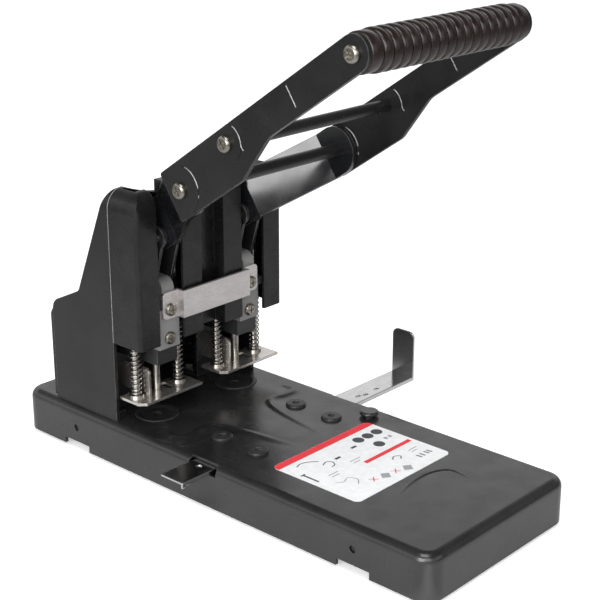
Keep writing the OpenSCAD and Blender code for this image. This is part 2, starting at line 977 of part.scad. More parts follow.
module shaft_clips() {
    rim = 3;
    clip_x = punch_x + cheek_out + gap;
    color("dimgray")
    both_sides()
        difference() {
            pin_x(clip_x, clip_x + clip_t, pivot_y, pivot_z, shaft_r + rim);
            pin_x(punch_x, shaft_half, pivot_y, pivot_z, shaft_r + fit);
        }
}

// Straps under the base's top that carry the paper guide
strap_screw_shank = 2.5;
module strap_screw_places() {
    for (x = [-strap_screw_x, strap_screw_x])
        for (y = [-strap_screw_y, strap_screw_y])
            translate([x, guide_y + y, 0])
            children();
}

module guide_straps() {
    strap_w = 12;
    tail = 5;
    leg = guide_span + gap;
    seat = base_top - base_sheet;
    end = strap_screw_y + tail;
    color("#8d8f92")
    difference() {
        for (x = [-strap_screw_x, strap_screw_x])
            translate([x, guide_y, 0])
            along_x(-strap_w / 2, strap_w / 2)
            polygon([
                [-end, seat], [-end, seat - strap_sheet], [-leg - strap_sheet, seat - strap_sheet],
                [-leg - strap_sheet, strap_top - strap_sheet], [leg + strap_sheet, strap_top - strap_sheet],
                [leg + strap_sheet, seat - strap_sheet], [end, seat - strap_sheet], [end, seat],
                [leg, seat], [leg, strap_top], [-leg, strap_top], [-leg, seat]
            ]);
        strap_screw_places()
            pin_z(0, base_top, 0, 0, strap_screw_shank + fit);
    }
}

module guide_screws() {
    head_r = 7.5;
    head_h = 2;
    head_edge = 1.4;
    socket_r = 3;
    socket_floor = 0.8;
    tip = 3;
    color("#2a2a2c")
    strap_screw_places() {
        difference() {
            translate([0, 0, base_top])
            rotate_extrude()
            polygon(rounded([[0, 0, 0], [head_r, 0, 0], [head_r, head_h, head_edge], [0, head_h, 0]]));
            translate([0, 0, base_top + socket_floor])
            cylinder(h = head_h, r = socket_r, $fn = 6);
        }
        pin_z(base_top - base_sheet - strap_sheet - tip, base_top + eps, 0, 0, strap_screw_shank);
    }
}

module label() {
    label_t = 0.3;
    corner_r = 4.5;
    rear = guide_y - label_fore;
    front = rear - label_l;
    color("whitesmoke")
    along_z(base_top, base_top + label_t)
    polygon(rounded([
        [-label_half, front, corner_r], [label_half, front, corner_r],
        [label_half, rear, corner_r], [-label_half, rear, corner_r]
    ]));
}

// Handle
module arm_outline() {
    corner_r = 2;
    shoulder_r = 12;
    neck_r = 20;
    narrow_low = arm_rise - 2 * arm_end_r;
    polygon(rounded([
        [arm_start, arm_low, corner_r], [wide_end, arm_low, shoulder_r],
        [narrow_start, narrow_low, neck_r], [grip_reach, narrow_low, 0],
        [grip_reach, arm_rise, 0], [arm_start, arm_rise, corner_r]
    ]));
    translate(grip_joint)
    circle(arm_end_r);
}

// Shallow pressed lines on the arms' left faces: a bow round each rod's screw and one across
mark_w = 0.9;
mark_d = 0.4;
lower_bow_r = 17;
upper_bow_r = 13.5;
bow_start = 2;
bar_along = 29.5;
bar_drop = 17;
bar_l = 14.5;
module bow_mark(joint, r) {
    intersection() {
        difference() {
            translate(joint)
            circle(r);
            translate(joint)
            circle(r - mark_w);
        }
        translate([joint.x + bow_start, arm_low])
        square([2 * r, arm_depth]);
    }
}

module arm_marks(x) {
    handle_plate(x - over, x + mark_d)
    bow_mark(lower_joint, lower_bow_r);
    handle_plate(x - over, x + mark_d)
    bow_mark(upper_joint, upper_bow_r);
    handle_plate(x - over, x + mark_d)
    translate([narrow_start + bar_along, arm_rise - bar_drop])
    square([mark_w, bar_l]);
}

module arm(x0) {
    color("#232325")
    on_handle()
    difference() {
        handle_plate(x0, x0 + arm_t)
        arm_outline();
        for (joint = [lower_joint, upper_joint, grip_joint])
            handle_pin(joint, x0 - over, x0 + arm_t + over, arm_screw_shank + fit);
        arm_marks(x0);
    }
}

module arm_left() {
    arm(-arm_out);
}

module arm_right() {
    arm(arm_in);
}

// Lever from its hub on the pivot shaft, flared out to its flange inside the arm
module lever() {
    neck = 28;
    hub_step = 1.5;
    end_r = arm_depth / 2 - over;
    out = punch_x + lever_t / 2;
    path = [
        [out, boss_r + over], [out, -flare_start], [arm_in, -arm_start], [arm_in, -lever_end - over],
        [arm_in - lever_t, -lever_end - over], [arm_in - lever_t, -arm_start],
        [out - lever_t, -flare_start], [out - lever_t, boss_r + over]
    ];
    color("#2a2a2c")
    on_handle()
    difference() {
        union() {
            intersection() {
                along_z(arm_low - over, arm_rise + over)
                polygon(path);
                handle_plate(0, arm_in + over)
                union() {
                    circle(boss_r);
                    polygon(rounded([
                        [0, -boss_r, 0], [neck, arm_low, 0], [lever_end, arm_low, end_r],
                        [lever_end, arm_rise, end_r], [neck, arm_rise, 0], [0, boss_r, 0]
                    ]));
                }
            }
            handle_pin([0, 0], punch_x - head_half, punch_x + head_half, boss_r - hub_step);
        }
        handle_pin([0, 0], 0, arm_in, shaft_r + fit);
        handle_pin(crank_local, 0, arm_in, pin_r + fit);
        handle_pin(lower_joint, 0, arm_out, arm_screw_shank + fit);
    }
}

module lever_left() {
    mirror([1, 0, 0])
    lever();
}

module lever_right() {
    lever();
}

module grip_profile() {
    half = arm_in - gap;
    ribbed = grip_ribs * rib_pitch / 2;
    slope = 0.8;
    floor_w = 1.4;
    end_edge = 1;
    ribs = [
        for (i = [0 : grip_ribs])
        let (z = i * rib_pitch - ribbed)
        each [
            [grip_r, z - floor_w / 2 - slope], [grip_r - rib_d, z - floor_w / 2],
            [grip_r - rib_d, z + floor_w / 2], [grip_r, z + floor_w / 2 + slope]
        ]
    ];
    polygon(concat(
        [[grip_rod_r + fit, -half], [grip_r - end_edge, -half], [grip_r, end_edge - half]],
        ribs,
        [[grip_r, half - end_edge], [grip_r - end_edge, half], [grip_rod_r + fit, half]]
    ));
}

grip_rod_r = 5;
module grip() {
    color("#1e1b1a")
    on_handle()
    translate([0, -grip_joint.x, grip_joint.y])
    rotate([0, 90, 0])
    rotate_extrude()
    grip_profile();
}

// Cross rod between two places, tapped at both ends for the arm screws
module cross_rod(joint, half, r) {
    on_handle()
    difference() {
        handle_pin(joint, -half, half, r);
        both_sides()
            handle_pin(joint, half - tap_l, half + over, arm_screw_shank + fit);
    }
}

module grip_rod() {
    color("silver")
    cross_rod(grip_joint, arm_in, grip_rod_r);
}

module lower_rod() {
    color("#2a2a2c")
    cross_rod(lower_joint, rod_in, lower_rod_r);
}

module upper_rod() {
    color("#2a2a2c")
    cross_rod(upper_joint, arm_in, upper_rod_r);
}

arm_screw_shank = 3;
tap_end = 2;
module arm_screws() {
    color("#c9c5b6")
    on_handle()
    both_sides()
        for (joint = [lower_joint, upper_joint, grip_joint])
            let (seat_t = joint == lower_joint ? arm_t + lever_t : arm_t)
            translate([arm_out, -joint.x, joint.y])
            rotate([0, 90, 0])
            pan_screw(arm_screw_r, arm_screw_h, arm_screw_shank, seat_t + tap_l - tap_end);
}

module link_pins() {
    color("silver")
    both_units()
        pin_x(-head_half, head_half, crank_y, crank_z, pin_r);
}

// Links from the levers' crank pins down to the heads; the lower eye is long
module links() {
    eye_r = 8;
    bar_w = 12;
    link_room = 0.7;
    pin_end = 1;
    link_in = tongue_half + link_room;
    link_out = head_half - pin_end;
    eye_fore = 3.5;
    eye_aft = 6.5;
    eye_play = 0.6;
    eye_half = pin_r + eye_play;
    rim = 4;
    spacer = 3;
    rim_r = 5;
    top = [crank_y, crank_z];
    low = [head_pin_y, head_pin_z];
    side = turned(unit(top - low), 90) * bar_w / 2;
    color("#77797c")
    for (flip = [0, 1])
        mirror([flip, 0, 0])
        difference() {
            union() {
                along_x(link_in, link_out)
                union() {
                    translate(top)
                    circle(eye_r);
                    polygon([top + side, low + side, low - side, top - side]);
                    polygon(rounded([
                        [head_pin_y - eye_fore - rim, head_pin_z - eye_half - rim, rim_r],
                        [head_pin_y + eye_aft + rim, head_pin_z - eye_half - rim, rim_r],
                        [head_pin_y + eye_aft + rim, head_pin_z + eye_half + rim, rim_r],
                        [head_pin_y - eye_fore - rim, head_pin_z + eye_half + rim, rim_r]
                    ]));
                }
                pin_x(lever_t / 2 + gap, link_in + eps, crank_y, crank_z, pin_r + spacer);
            }
            pin_x(0, link_out + over, crank_y, crank_z, pin_r + fit);
            along_x(0, link_out + over)
            polygon(rounded([
                [head_pin_y - eye_fore, head_pin_z - eye_half, pin_r],
                [head_pin_y + eye_aft, head_pin_z - eye_half, pin_r],
                [head_pin_y + eye_aft, head_pin_z + eye_half, pin_r],
                [head_pin_y - eye_fore, head_pin_z + eye_half, pin_r]
            ]));
        }
}

module links_left() {
    translate([-punch_x, 0, 0])
    links();
}

module links_right() {
    translate([punch_x, 0, 0])
    links();
}

// Heads
upper_screw_z = head_z1;
lower_screw_up = 7.3;
lower_screw_z = head_z + lower_screw_up;
head_screw_shank = 2;
screw_bore = 14;
punch_flange_h = 3;
punch_flange_rim = 1.5;
module head() {
    tongue_root = 5;
    tongue_r = 8;
    color("#85878a")
    difference() {
        union() {
            box([-head_half, head_y, head_z], [head_half, head_y + head_l, head_z1]);
            along_x(-tongue_half, tongue_half)
            polygon(rounded([
                [head_y, head_z1 - tongue_root, 0], [head_y + tongue_l, head_z1 - tongue_root, 0],
                [head_y + tongue_l, head_z1 + tongue_h, tongue_r], [head_y, head_z1 + tongue_h, tongue_r]
            ]));
            box([-rod_left - wing_end, wing_y, wing_z], [rod_right + wing_end, wing_y + wing_l, wing_z1]);
        }
        rod_places()
            pin_z(wing_z - over, wing_z1 + over, 0, rod_y, rod_r + gap);
        pin_x(-head_half, head_half, head_pin_y, head_pin_z, pin_r + fit);
        for (z = [upper_screw_z, lower_screw_z])
            pin_y(head_y - over, head_y + screw_bore, 0, z, head_screw_shank + fit);
        pin_z(head_z - over, head_z + punch_flange_h, 0, punch_y, punch_r + punch_flange_rim + fit);
    }
}

module rod_places() {
    for (x = [-rod_left, rod_right])
        translate([x, 0, 0])
        children();
}

module head_left() {
    translate([-punch_x, 0, 0])
    head();
}

module head_right() {
    translate([punch_x, 0, 0])
    head();
}

module holder() {
    set_back = 3;
    holder_l = 26;
    holder_y = head_y + set_back;
    color("#202022")
    difference() {
        box([-head_half, holder_y, holder_z], [head_half, holder_y + holder_l, head_z]);
        pin_z(holder_z - over, head_z + over, 0, punch_y, punch_r + fit);
    }
}

module holder_left() {
    translate([-punch_x, 0, 0])
    holder();
}

module holder_right() {
    translate([punch_x, 0, 0])
    holder();
}

module punch() {
    tip_up = 0.5;
    color("silver") {
        pin_z(plate_z0 + tip_up, head_z + eps, 0, punch_y, punch_r);
        pin_z(head_z, head_z + punch_flange_h, 0, punch_y, punch_r + punch_flange_rim);
    }
}

module punch_left() {
    translate([-punch_x, 0, 0])
    punch();
}

module punch_right() {
    translate([punch_x, 0, 0])
    punch();
}

// Strap: front band, a jog at each end and a tab on each head
module strap_face(half, z0, z1, r) {
    polygon(rounded([[-half, z0, r], [half, z0, r], [half, z1, r], [-half, z1, r]]));
}

module strap() {
    inner_edge = 9;
    outer_edge = 7;
    screw_up = 7;
    tab_in = punch_x - inner_edge;
    tab_out = punch_x + outer_edge;
    front = head_y - strap_t - strap_jog;
    band = head_y - strap_jog;
    corner_r = 3.5;
    z0 = upper_screw_z - screw_up;
    z1 = z0 + strap_h;
    color("#b9bbbd")
    difference() {
        intersection() {
            along_z(z0, z1)
            polygon([
                [-tab_in - strap_t, front], [tab_in + strap_t, front],
                [tab_in + strap_t, head_y - strap_t], [tab_out, head_y - strap_t],
                [tab_out, head_y], [tab_in, head_y], [tab_in, band],
                [-tab_in, band], [-tab_in, head_y], [-tab_out, head_y],
                [-tab_out, head_y - strap_t], [-tab_in - strap_t, head_y - strap_t]
            ]);
            along_y(front - over, head_y + over)
            strap_face(tab_out, z0, z1, corner_r);
        }
        both_units()
            pin_y(front - over, head_y + over, 0, upper_screw_z, head_screw_shank + fit);
    }
}

module head_screws() {
    head_h = 2.4;
    bore_end = 3;
    shank_l = screw_bore - bore_end;
    color("#c4c4c2")
    both_units() {
        translate([0, head_y - strap_t, upper_screw_z])
        rotate([90, 0, 0])
        pan_screw(head_screw_r, head_h, head_screw_shank, shank_l + strap_t);
        translate([0, head_y, lower_screw_z])
        rotate([90, 0, 0])
        pan_screw(head_screw_r, head_h, head_screw_shank, shank_l);
    }
}

module head_pins() {
    color("silver")
    both_units()
        pin_x(-head_half, head_half, head_pin_y, head_pin_z, pin_r);
}

// Stripper plates with their rods and springs
plate_back = 8.5;
plate_y = punch_y + plate_back - plate_l;
rivet_step = 0.5;
rivet_r = rod_r - rivet_step;
tab_room = 0.5;
tab_x = head_half + tab_room + tab_t;
module stripper() {
    plate_end = 9;
    plate_cut = 4.5;
    tab_fore = 6;
    tab_r = 4;
    sight_x = 7;
    sight_w = 5;
    sight_l = 12;
    sight_fore = 7;
    sight_y = punch_y - sight_fore;
    tab_y = punch_y - tab_fore;
    left = rod_left + plate_end;
    right = rod_right + plate_end;
    color("#c3c2bd")
    difference() {
        union() {
            along_z(plate_z0, plate_z)
            polygon([
                [-left + plate_cut, plate_y], [right, plate_y], [right, plate_y + plate_l],
                [-left, plate_y + plate_l], [-left, plate_y + plate_cut]
            ]);
            along_x(-tab_x, tab_t - tab_x)
            polygon(rounded([
                [tab_y, plate_z0, 0], [tab_y + tab_l, plate_z, 0],
                [tab_y + tab_l, plate_z + tab_h, tab_r], [tab_y, plate_z + tab_h, tab_r]
            ]));
        }
        pin_z(plate_z0 - over, plate_z + over, 0, punch_y, punch_r + gap);
        rod_places()
            pin_z(plate_z0 - over, plate_z + over, 0, rod_y, rivet_r + fit);
        box([sight_x, sight_y, plate_z0 - over], [sight_x + sight_w, sight_y + sight_l, plate_z + over]);
    }
}

module stripper_left() {
    translate([-punch_x, 0, 0])
    stripper();
}

module stripper_right() {
    translate([punch_x, 0, 0])
    stripper();
}

rod_foot_h = 1.5;
rod_foot_rim = 3;
module guide_rods() {
    color("silver")
    rod_places() {
        pin_z(plate_z0, plate_z + eps, 0, rod_y, rivet_r);
        pin_z(plate_z, plate_z + rod_foot_h, 0, rod_y, rod_r + rod_foot_rim);
        pin_z(plate_z, plate_z + rod_l, 0, rod_y, rod_r);
    }
}

module guide_rods_left() {
    translate([-punch_x, 0, 0])
    guide_rods();
}

module guide_rods_right() {
    translate([punch_x, 0, 0])
    guide_rods();
}

module rod_clips() {
    rim = 2;
    clip_z = wing_z1 + gap;
    color("dimgray")
    rod_places()
        difference() {
            pin_z(clip_z, clip_z + clip_t, 0, rod_y, rod_r + rim);
            pin_z(clip_z - over, clip_z + clip_t + over, 0, rod_y, rod_r + fit);
        }
}

module rod_clips_left() {
    translate([-punch_x, 0, 0])
    rod_clips();
}

module rod_clips_right() {
    translate([punch_x, 0, 0])
    rod_clips();
}

spring_play = 0.1;
spring_z = plate_z + rod_foot_h + wire_r + spring_play;
spring_z1 = wing_z - wire_r - spring_play;
module springs() {
    color("gainsboro")
    rod_places()
        translate([0, rod_y, 0])
        coil(spring_r - wire_r, wire_r, spring_z, spring_z1, spring_turns);
}

module springs_left() {
    translate([-punch_x, 0, 0])
    springs();
}

module springs_right() {
    translate([punch_x, 0, 0])
    springs();
}

echo(least_gap_column_spring = coil_gap(spring_r - wire_r, wire_r, spring_z, spring_z1, spring_turns));

// Paper guide: a strip through the base with bent edges, and a stop plate on the right
module guide_bar() {
    sheet = 1.3;
    corner_l = 3;
    free_l = 24;
    stop_r = 5;
    hole_in = 25;
    hole_r = 2;
    slot_half = 1;
    slot_reach = 2.3;
    slots = [[58, -3], [52, -5], [38, -4]];
    stop_z1 = guide_z1 + stop_h;
    color("#bfc1c4")
    difference() {
        union() {
            box(
                [-guide_left, guide_y - guide_span, guide_z],
                [guide_right, guide_y + guide_span, guide_z1]
            );
            box(
                [-guide_left, guide_y - guide_span, guide_z1 - lip_h],
                [corner_l - guide_left, guide_y - guide_span + sheet, guide_z1]
            );
            along_x(guide_right - sheet, guide_right)
            translate([guide_y, 0])
            polygon(rounded([
                [-guide_span, guide_z, 0], [guide_span, guide_z, 0],
                [guide_span, stop_z1, stop_r], [-guide_span, stop_z1, stop_r]
            ]));
        }
        box(
            [-guide_left - over, guide_y - guide_span + sheet, guide_z - over],
            [guide_right - sheet, guide_y + guide_span - sheet, guide_z1 - sheet]
        );
        box(
            [-guide_left - over, guide_y, guide_z - over],
            [free_l - guide_left, guide_y + guide_span + over, guide_z1 - sheet]
        );
        pin_z(guide_z - over, guide_z1 + over, hole_in - guide_left, guide_y, hole_r);
        for (spot = slots)
            translate([guide_right - spot.x, guide_y + spot.y, 0])
            box([-slot_reach, -slot_half, guide_z - over], [slot_reach, slot_half, guide_z1 + over]);
    }
}

// Button that frees the guide, its clip and its spring
module lock_button() {
    button_room = 0.2;
    head_h = 2.6;
    under_r = 0.6;
    top_r = 1.6;
    head_z = base_top + button_travel + button_room;
    color("#19191a")
    translate([button_x, button_y, 0])
    rotate_extrude()
    polygon(rounded([
        [0, button_stem_z, 0], [button_neck_r, button_stem_z, 0], [button_neck_r, head_z, 0],
        [button_r, head_z, under_r], [button_r, head_z + head_h, top_r], [0, head_z + head_h, 0]
    ]));
}

module lock_clip() {
    clip_room = 0.2;
    lock_clip_t = 1.2;
    rim = 2;
    clip_z1 = base_top - base_sheet - clip_room;
    color("dimgray")
    difference() {
        pin_z(clip_z1 - lock_clip_t, clip_z1, button_x, button_y, button_neck_r + rim);
        pin_z(0, base_top, button_x, button_y, button_neck_r + fit);
    }
}

lock_spring_r = 3.5;
lock_wire_r = 0.5;
lock_spring_z = tray_z + lock_wire_r + spring_play;
lock_spring_z1 = button_stem_z - lock_wire_r - spring_play;
lock_turns = 7;
module lock_spring() {
    color("gainsboro")
    translate([button_x, button_y, 0])
    coil(lock_spring_r, lock_wire_r, lock_spring_z, lock_spring_z1, lock_turns);
}

echo(least_gap_lock_spring = coil_gap(lock_spring_r, lock_wire_r, lock_spring_z, lock_spring_z1, lock_turns));

base_shell();
bottom_tray();
feet();
tray_screws();
die_left();
die_right();
casing_shell();
casing_screws();
front_cover();
rear_cover();
cover_screws();
frame_left();
frame_right();
frame_bolts();
frame_nuts();
pivot_shaft();
shaft_clips();
guide_straps();
guide_screws();
label();
arm_left();
arm_right();
lever_left();
lever_right();
grip();
grip_rod();
lower_rod();
upper_rod();
arm_screws();
link_pins();
links_left();
links_right();
head_left();
head_right();
holder_left();
holder_right();
punch_left();
punch_right();
strap();
head_screws();
head_pins();
stripper_left();
stripper_right();
guide_rods_left();
guide_rods_right();
rod_clips_left();
rod_clips_right();
springs_left();
springs_right();
guide_bar();
lock_button();
lock_clip();
lock_spring();
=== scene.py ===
import json
import math

import bmesh
import bpy
from mathutils import Matrix, Vector


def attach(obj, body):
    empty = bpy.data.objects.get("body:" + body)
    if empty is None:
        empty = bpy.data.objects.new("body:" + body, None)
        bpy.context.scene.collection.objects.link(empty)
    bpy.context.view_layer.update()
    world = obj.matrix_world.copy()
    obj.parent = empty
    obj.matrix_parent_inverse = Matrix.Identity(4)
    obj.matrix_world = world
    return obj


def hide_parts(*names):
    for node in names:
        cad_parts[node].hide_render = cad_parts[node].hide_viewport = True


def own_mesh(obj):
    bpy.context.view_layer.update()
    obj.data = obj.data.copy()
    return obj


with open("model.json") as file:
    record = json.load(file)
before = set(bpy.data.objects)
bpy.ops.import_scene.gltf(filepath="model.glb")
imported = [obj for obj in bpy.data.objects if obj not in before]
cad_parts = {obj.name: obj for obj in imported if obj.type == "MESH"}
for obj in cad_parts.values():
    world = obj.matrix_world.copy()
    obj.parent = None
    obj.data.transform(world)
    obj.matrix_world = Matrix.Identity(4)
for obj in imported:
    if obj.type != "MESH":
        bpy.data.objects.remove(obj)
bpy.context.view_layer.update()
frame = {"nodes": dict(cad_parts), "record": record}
scene = bpy.context.scene
MM = 0.001


# Places and sizes of the punch, in millimetres, as the solids have them
BASE_TOP = 34.0
BASE_HALF_W = 75.0
BASE_HALF_L = 192.5
PUNCH_X = 40.0
PUNCH_Y = 82.5
ROD_Y = PUNCH_Y + 1.0
ROD_SIDES = (-18.0, 22.0)
SPRING_FOOT = 54.5
SPRING_TOP = 108.0
SPRING_R = 3.7
SPRING_WIRE_R = 0.55
SPRING_TURNS = 16
TRAY_FLOOR = 9.5
BUTTON = (59.0, -34.5)
BUTTON_SPRING_TOP = 27.0
BUTTON_SPRING_R = 3.5
BUTTON_WIRE_R = 0.5
BUTTON_SPRING_TURNS = 7
COVER_REAR = 91.7
LABEL_TOP = 34.3
LABEL_SHIFT = -3.5
PIVOT = (0, PUNCH_Y + 15, 157)
HANDLE_RISE_DEG = 34
HANDLE = Matrix.Translation(PIVOT) @ Matrix.Rotation(math.radians(-HANDLE_RISE_DEG), 4, "X")
GRIP_Y, GRIP_Z = -131.01, 322.82
GRIP_HALF = 75.2
RIB_PITCH = 8.2
RIBS = 16

# Beads on the arms: the joints are (along the handle, rise), from the pivot
ARM_FACES = (-78.5, 75.5)
LOWER_JOINT = (108.9, 3.7)
UPPER_JOINT = (163.2, 11.0)
LOWER_BOW_R = 16.55
UPPER_BOW_R = 13.05
PRESSED_LINE_OUT = 0.45     # how far a pressed line lies outside its bead
BEAD_R = 0.42
HOOK_R = 5.0
CROSS_BEAD = (227.9, 10.95)
CROSS_BEAD_L = 13.5


# Node helpers

class Wiring:
    """Short ways to wire the nodes of a material or of the world."""

    def __init__(self, tree):
        self.nodes = tree.nodes
        self.links = tree.links
        self.coords = self.nodes.new("ShaderNodeTexCoord")

    def fill(self, sockets, values):
        """Links each socket to an output, or sets it to a number or colour."""
        for socket, value in zip(sockets, values):
            if isinstance(value, bpy.types.NodeSocket):
                self.links.new(value, socket)
            else:
                socket.default_value = value

    def math(self, kind, *values):
        node = self.nodes.new("ShaderNodeMath")
        node.operation = kind
        self.fill(node.inputs, values)
        return node.outputs["Value"]

    def between(self, out, low, high, start=0.3, end=0.7, easing="LINEAR"):
        """Carries a value from the range start to end over to the range low to high."""
        node = self.nodes.new("ShaderNodeMapRange")
        node.interpolation_type = easing
        names = ("Value", "From Min", "From Max", "To Min", "To Max")
        self.fill([node.inputs[name] for name in names], (out, start, end, low, high))
        return node.outputs["Result"]

    def vector_math(self, kind, *values):
        node = self.nodes.new("ShaderNodeVectorMath")
        node.operation = kind
        self.fill(node.inputs, values)
        return node.outputs["Value"]

    def split(self, out):
        node = self.nodes.new("ShaderNodeSeparateXYZ")
        self.links.new(out, node.inputs["Vector"])
        return node.outputs


class Finish(Wiring):
    """One procedural material: a shader and the patterns on its object coordinates."""

    def __init__(self, name):
        self.material = bpy.data.materials.new(name)
        self.material.use_nodes = True
        super().__init__(self.material.node_tree)
        self.shader = self.nodes["Principled BSDF"]

    def set(self, **sockets):
        for name, value in sockets.items():
            self.shader.inputs[name.replace("_", " ")].default_value = value

    def put(self, out, socket):
        self.links.new(out, self.shader.inputs[socket])

    def noise(self, per_metre, detail, stretch=(1, 1, 1)):
        mapping = self.nodes.new("ShaderNodeMapping")
        mapping.inputs["Scale"].default_value = stretch
        self.links.new(self.coords.outputs["Object"], mapping.inputs["Vector"])
        noise = self.nodes.new("ShaderNodeTexNoise")
        noise.inputs["Scale"].default_value = per_metre
        noise.inputs["Detail"].default_value = detail
        noise.inputs["Roughness"].default_value = 0.5
        self.links.new(mapping.outputs["Vector"], noise.inputs["Vector"])
        return noise.outputs["Fac"]

    def mix(self, fac, first, second):
        node = self.nodes.new("ShaderNodeMix")
        node.data_type = "RGBA"
        self.links.new(fac, node.inputs["Factor"])
        ends = [s for s in node.inputs if s.type == "RGBA"]
        self.fill(ends, [c + (1,) if isinstance(c, tuple) else c for c in (first, second)])
        return [s for s in node.outputs if s.type == "RGBA"][0]

    def rounded_edges(self, radius):
        node = self.nodes.new("ShaderNodeBevel")
        node.samples = 6
        node.inputs["Radius"].default_value = radius * MM
        return node.outputs["Normal"]

    def place(self, axis):
        """Distance along one axis of the punch, in metres."""
        return self.split(self.coords.outputs["Object"])[axis]

    def edge_mask(self, radius):
        """1 along sharp edges and 0 on the flats, from the angle between the rounded and the true normal."""
        geometry = self.nodes.new("ShaderNodeNewGeometry")
        dot = self.vector_math("DOT_PRODUCT", self.rounded_edges(radius), geometry.outputs["Normal"])
        return self.between(self.math("SUBTRACT", 1.0, dot), 0.0, 1.0, 0.02, 0.2)

    def off_bow(self, joint, radius):
        """0 near the line pressed into an arm round a rod's screw, and 1 elsewhere."""
        line_r = (radius + PRESSED_LINE_OUT) * MM
        near, clear = 1.5 * MM, 1.9 * MM
        centre = HANDLE @ Vector((0, -joint[0], joint[1])) * MM
        fore = self.math("SUBTRACT", self.place("Y"), centre.y)
        up = self.math("SUBTRACT", self.place("Z"), centre.z)
        square = self.math("ADD", self.math("MULTIPLY", fore, fore), self.math("MULTIPLY", up, up))
        apart = self.math("SUBTRACT", self.math("POWER", square, 0.5), line_r)
        inside = self.between(apart, 1.0, 0.0, -clear, -near)
        outside = self.between(apart, 0.0, 1.0, near, clear)
        return self.math("ADD", inside, outside)

    def bump(self, height, strength, depth, normal=None):
        node = self.nodes.new("ShaderNodeBump")
        node.inputs["Strength"].default_value = strength
        node.inputs["Distance"].default_value = depth * MM
        self.links.new(height, node.inputs["Height"])
        if normal is not None:
            self.links.new(normal, node.inputs["Normal"])
        self.put(node.outputs["Normal"], "Normal")


# Kinds of finish; edge radii and depths are in millimetres

def paint(name, colour, worn, rough, peel=0.06, edge=0.5, specular=0.4, bows=()):
    """Sprayed paint: fine orange peel, patchy gloss and rubbed edges, with no rubbing along pressed bows."""
    f = Finish(name)
    cloud = tuple(c * 1.35 + 0.004 for c in colour)
    tone = f.mix(f.between(f.noise(26, 4), 0.0, 1.0), colour, cloud)
    scuff = f.math("MULTIPLY", f.edge_mask(edge), f.between(f.noise(420, 5), 0.25, 1.0))
    for joint, radius in bows:
        scuff = f.math("MULTIPLY", scuff, f.off_bow(joint, radius))
    f.put(f.mix(scuff, tone, worn), "Base Color")
    f.put(f.between(f.noise(55, 6), rough - 0.05, rough + 0.06), "Roughness")
    f.set(Specular_IOR_Level=specular)
    f.bump(f.noise(1500, 2), peel, 0.12, f.rounded_edges(edge))
    return f.material


def brushed(name, colour, dark, rough, along=(0.03, 1, 1), edge=0.25, metal=1.0):
    """Plated or brushed sheet: hairlines along one way, faint stains and bright rounded edges."""
    f = Finish(name)
    lines = f.noise(2600, 4, along)
    tone = f.mix(f.between(f.noise(70, 4), 0.0, 1.0), dark, colour)
    hair = f.mix(f.between(lines, 0.0, 0.35), tone, tuple(c * 0.72 for c in colour))
    f.put(hair, "Base Color")
    f.put(f.between(lines, rough - 0.06, rough + 0.08), "Roughness")
    f.set(Metallic=metal)
    f.bump(lines, 0.12, 0.03, f.rounded_edges(edge))
    return f.material


def moulded(name, colour, rough, grain, depth, edge=0.4, specular=0.45, seam=None):
    """Rubber or plastic from a mould: fine grain, a little dust, and a painted highlight along a seam."""
    f = Finish(name)
    dusty = tuple(c * 1.5 + 0.003 for c in colour)
    tone = f.mix(f.between(f.noise(90, 5), 0.0, 1.0), colour, dusty)
    if seam is not None:
        # Painted highlight: a patchy pale grey band just in front of the seam stands in for light caught on
        # the cover's rounded rear edge.
        rim = f.between(f.place("Y"), 0.0, 1.0, (seam - 0.75) * MM, (seam - 0.55) * MM)
        outside = f.between(f.place("Y"), 1.0, 0.0, (seam + 0.05) * MM, (seam + 0.1) * MM)
        seam_highlight = f.math("MULTIPLY", rim, f.between(f.noise(30, 3), 0.55, 1.0))
        tone = f.mix(f.math("MULTIPLY", seam_highlight, outside), tone, (0.3, 0.3, 0.3))
    f.put(tone, "Base Color")
    f.put(f.between(f.noise(160, 4), rough - 0.05, rough + 0.07), "Roughness")
    f.set(Specular_IOR_Level=specular)
    f.bump(f.noise(grain, 3), depth, 0.15, f.rounded_edges(edge))
    return f.material


def printed(name, colour, rough=0.7):
    """Ink on film, with a slight unevenness."""
    f = Finish(name)
    thin = tuple(c * 0.9 for c in colour)
    f.put(f.mix(f.between(f.noise(240, 4), 0.0, 1.0), colour, thin), "Base Color")
    f.put(f.between(f.noise(130, 3), rough - 0.04, rough + 0.05), "Roughness")
    f.set(Specular_IOR_Level=0.15)
    f.bump(f.noise(1800, 2), 0.03, 0.05)
    return f.material


# Finishes of the punch
body_paint = paint("body_paint", (0.011, 0.0108, 0.011), (0.1, 0.1, 0.1), 0.25, 0.025, specular=0.85)
casing_paint = paint("casing_paint", (0.0065, 0.0065, 0.0068), (0.2, 0.2, 0.2), 0.3, 0.02, 0.7, 0.42)
# The pale band at COVER_REAR is a painted highlight along the cover's rear edge.
cover_plastic = moulded("cover_plastic", (0.0055, 0.0055, 0.0057), 0.28, 1700, 0.015, 0.9, 0.4, COVER_REAR)
tray_paint = paint("tray_paint", (0.016, 0.016, 0.016), (0.07, 0.07, 0.07), 0.55)
arm_paint = paint("arm_paint", (0.0068, 0.0068, 0.0071), (0.24, 0.235, 0.23), 0.28, 0.02, 0.5, 0.42,
                  ((LOWER_JOINT, LOWER_BOW_R), (UPPER_JOINT, UPPER_BOW_R)))
lever_paint = paint("lever_paint", (0.0062, 0.0065, 0.0078), (0.16, 0.16, 0.165), 0.17, 0.01, 0.45, 0.9)
black_steel = paint("black_steel", (0.016, 0.016, 0.017), (0.34, 0.34, 0.34), 0.34, 0.05, 0.3, 0.5)
head_grey = paint("head_grey", (0.18, 0.177, 0.176), (0.5, 0.5, 0.5), 0.36, 0.1, 0.4, 0.6)
frame_steel = paint("frame_steel", (0.13, 0.13, 0.135), (0.3, 0.3, 0.3), 0.45, 0.1, 0.4, 0.5)
